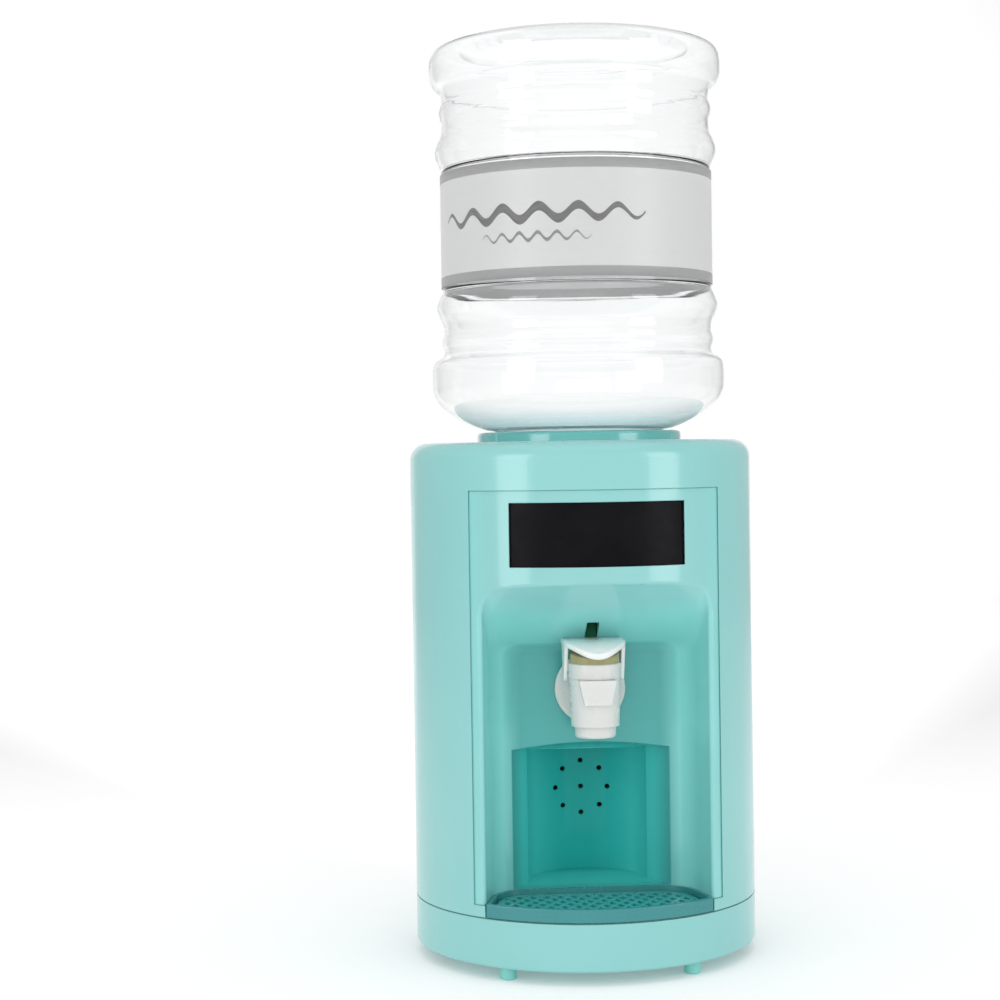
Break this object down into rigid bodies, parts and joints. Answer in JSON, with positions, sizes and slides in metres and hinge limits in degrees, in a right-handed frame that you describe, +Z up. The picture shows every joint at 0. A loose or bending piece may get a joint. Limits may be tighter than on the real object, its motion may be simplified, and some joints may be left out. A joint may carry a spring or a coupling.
{
  "type": "countertop water dispenser",
  "caption": "Mini battery-operated countertop water dispenser: round casing with tap recess, cup niche, drip tray and an inverted clear bottle on top.",
  "frame": {"origin": "on the floor under the bottle's vertical axis", "axes": "+Z up, the front with the tap faces -Y, +X to the right seen from the front"},
  "size_m": [0.11, 0.11, 0.2915],
  "materials": {
    "shell_teal": "glossy moulded plastic",
    "tray_teal": "glossy moulded plastic, darker",
    "foot_teal": "soft moulded plastic",
    "tap_white": "satin moulded plastic",
    "silicone_olive": "soft silicone",
    "silicone_clear": "soft silicone",
    "display_black": "smoked window, satin",
    "board_green": "lacquered circuit board",
    "black_plastic": "moulded plastic",
    "led_clear": "clear lens",
    "cone_paper": "pressed paper",
    "cell_case": "plain printed sleeve",
    "steel": "plated",
    "bottle_clear": "clear blown plastic",
    "label_grey": "printed film"
  },
  "bodies": {
    "casing": {"body_shell": "shell_teal", "front_panel": "shell_teal", "back_cover": "shell_teal", "cover_screws": "steel", "base_ring": "shell_teal", "base_plate": "shell_teal", "base_screws": "steel", "feet": "foot_teal", "bottle_collar": "tray_teal", "collar_seal": "silicone_clear", "water_funnel": "tap_white", "water_tube": "silicone_clear", "tap_body": "tap_white", "tap_gasket": "silicone_clear", "tap_nut": "tap_white", "tap_bonnet": "silicone_olive", "tap_spring": "steel", "lever_pins": "tap_white", "display_lens": "display_black", "display_board": "board_green", "board_posts": "black_plastic", "display_leds": "led_clear", "main_board": "board_green", "board_parts": "black_plastic", "lever_switch": "black_plastic", "speaker_frame": "steel", "speaker_cone": "cone_paper", "speaker_retainer": "black_plastic", "battery_holder": "black_plastic", "batteries": "cell_case", "battery_contacts": "steel", "battery_door": "shell_teal", "door_screw": "steel", "power_case": "black_plastic"},
    "bottle": {"bottle": "bottle_clear", "bottle_label": "label_grey", "bottle_cap": "tap_white", "cap_valve": "silicone_clear"},
    "tray": {"drip_tray": "tray_teal"},
    "grille": {"drip_grille": "tray_teal"},
    "lever": {"tap_lever": "tap_white"},
    "plunger": {"tap_plunger": "tap_white", "tap_stopper": "silicone_clear"},
    "button": {"switch_button": "board_green"},
    "knob": {"power_knob": "black_plastic"}
  },
  "joints": [
    {"name": "bottle_lift", "type": "slide", "parent": "casing", "child": "bottle", "axis": [0, 0, 1], "range_m": [0, 0.035]},
    {"name": "tray_slide", "type": "slide", "parent": "casing", "child": "tray", "axis": [0, -1, 0], "range_m": [0, 0.04]},
    {"name": "grille_lift", "type": "slide", "parent": "tray", "child": "grille", "axis": [0, 0, 1], "range_m": [0, 0.01]},
    {"name": "lever_press", "type": "hinge", "parent": "casing", "child": "lever", "pos_m": [0, -0.032, 0.092], "axis": [1, 0, 0], "range_deg": [0, 10], "stiffness_Nm_per_rad": 0.1, "springref_deg": -2.86},
    {"name": "plunger_slide", "type": "slide", "parent": "casing", "child": "plunger", "axis": [0, 0, -1], "range_m": [0, 0.0013], "deforming": ["tap_spring"]},
    {"name": "button_slide", "type": "slide", "parent": "casing", "child": "button", "axis": [0, 0, 1], "range_m": [0, 0.0008]},
    {"name": "power_slide", "type": "slide", "parent": "casing", "child": "knob", "axis": [1, 0, 0], "range_m": [0, 0.004]}
  ],
  "couplings": [
    {"joint": "plunger_slide", "follows": "lever_press", "m_per_rad": 0.00716},
    {"joint": "button_slide", "follows": "lever_press", "m_per_rad": 0.004}
  ]
}
